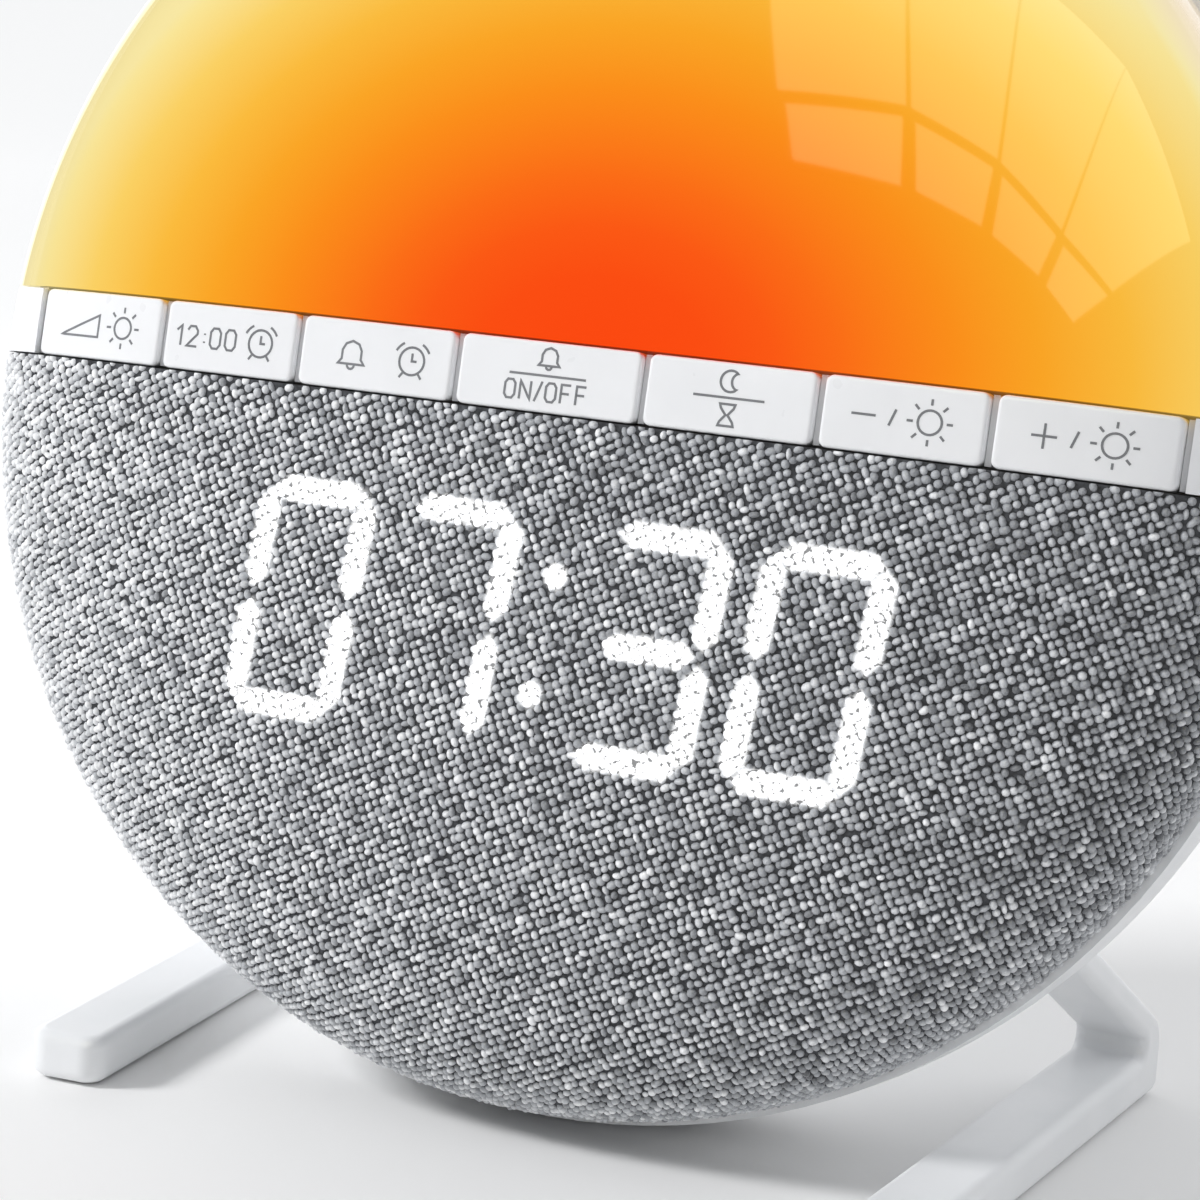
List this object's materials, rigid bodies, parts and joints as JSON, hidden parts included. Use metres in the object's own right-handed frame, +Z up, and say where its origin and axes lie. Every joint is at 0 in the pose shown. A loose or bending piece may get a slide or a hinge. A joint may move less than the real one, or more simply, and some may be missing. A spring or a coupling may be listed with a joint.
{
  "type": "sunrise alarm clock",
  "caption": "Round domed wake-up light and alarm clock: translucent lit upper face, key strip, cloth lower face with glowing digits, on two hook feet.",
  "frame": {"origin": "middle of the footprint at the height of the pads' soles", "axes": "+Z up, the face looks towards -Y and leans back, +X to the right seen from the front"},
  "size_m": [0.182, 0.0852, 0.1801],
  "materials": {
    "white_keys": "satin white keys with thin grey signs",
    "white_housing": "satin white moulded housing",
    "white_feet": "satin white feet",
    "lens_amber": "glossy translucent dome lit from inside",
    "cloth_grey": "coarse woven speaker cloth",
    "frame_dark": "dark moulded inner frame",
    "carrier_grey": "grey moulded key carrier",
    "plunger_black": "black switch plungers",
    "switch_metal": "plated switch cans",
    "display_light": "white light guides",
    "board_green": "green circuit board",
    "board_white": "white light board",
    "led_yellow": "yellow phosphor packages",
    "diffuser_white": "frosted diffuser",
    "reflector_white": "white reflector",
    "cone_black": "paper cone",
    "magnet_grey": "ferrite magnet",
    "rubber_dark": "foam and rubber",
    "rubber_grey": "grey rubber pads",
    "screw_steel": "zinc plated screws",
    "part_black": "black packages and connectors",
    "cell_steel": "steel cell case"
  },
  "bodies": {
    "clock": {"left_end_cap": "white_keys", "right_end_cap": "white_keys", "key_carrier": "carrier_grey", "key_board": "board_green", "tact_switches": "switch_metal", "digit_segments": "display_light", "colon_dots": "display_light", "display_housing": "frame_dark", "display_board": "board_green", "fabric_cover": "cloth_grey", "grille_frame": "frame_dark", "speaker_basket": "frame_dark", "speaker_cone": "cone_black", "speaker_magnet": "magnet_grey", "speaker_gasket": "rubber_dark", "sunrise_lens": "lens_amber", "light_reflector": "reflector_white", "led_board": "board_white", "sunrise_leds": "led_yellow", "light_diffuser": "diffuser_white", "rear_housing": "white_housing", "housing_screws": "screw_steel", "main_board": "board_green", "board_parts": "part_black", "board_screws": "screw_steel", "power_inlet": "part_black", "inlet_pin": "screw_steel", "backup_cell": "cell_steel", "left_foot": "white_feet", "right_foot": "white_feet", "foot_pads": "rubber_grey", "foot_screws": "screw_steel"},
    "dimmer_key": {"dimmer_key": "white_keys", "dimmer_plunger": "plunger_black"},
    "time_set_key": {"time_set_key": "white_keys", "time_set_plunger": "plunger_black"},
    "alarm_set_key": {"alarm_set_key": "white_keys", "alarm_set_plunger": "plunger_black"},
    "alarm_switch_key": {"alarm_switch_key": "white_keys", "alarm_switch_plunger": "plunger_black"},
    "sleep_timer_key": {"sleep_timer_key": "white_keys", "sleep_timer_plunger": "plunger_black"},
    "minus_key": {"minus_key": "white_keys", "minus_plunger": "plunger_black"},
    "plus_key": {"plus_key": "white_keys", "plus_plunger": "plunger_black"},
    "cell_cover": {"cell_cover": "white_housing"}
  },
  "joints": [
    {"name": "dimmer_press", "type": "slide", "parent": "clock", "child": "dimmer_key", "axis": [0, 0.9848, -0.1736], "range_m": [0, 0.0008], "stiffness_N_per_m": 900},
    {"name": "time_set_press", "type": "slide", "parent": "clock", "child": "time_set_key", "axis": [0, 0.9848, -0.1736], "range_m": [0, 0.0008], "stiffness_N_per_m": 900},
    {"name": "alarm_set_press", "type": "slide", "parent": "clock", "child": "alarm_set_key", "axis": [0, 0.9848, -0.1736], "range_m": [0, 0.0008], "stiffness_N_per_m": 900},
    {"name": "alarm_switch_press", "type": "slide", "parent": "clock", "child": "alarm_switch_key", "axis": [0, 0.9848, -0.1736], "range_m": [0, 0.0008], "stiffness_N_per_m": 900},
    {"name": "sleep_timer_press", "type": "slide", "parent": "clock", "child": "sleep_timer_key", "axis": [0, 0.9848, -0.1736], "range_m": [0, 0.0008], "stiffness_N_per_m": 900},
    {"name": "minus_press", "type": "slide", "parent": "clock", "child": "minus_key", "axis": [0, 0.9848, -0.1736], "range_m": [0, 0.0008], "stiffness_N_per_m": 900},
    {"name": "plus_press", "type": "slide", "parent": "clock", "child": "plus_key", "axis": [0, 0.9848, -0.1736], "range_m": [0, 0.0008], "stiffness_N_per_m": 900},
    {"name": "cell_cover_twist", "type": "hinge", "parent": "clock", "child": "cell_cover", "pos_m": [-0.03, 0.02532, 0.04075], "axis": [0, 0.9848, -0.1736], "range_deg": [0, 45]}
  ]
}
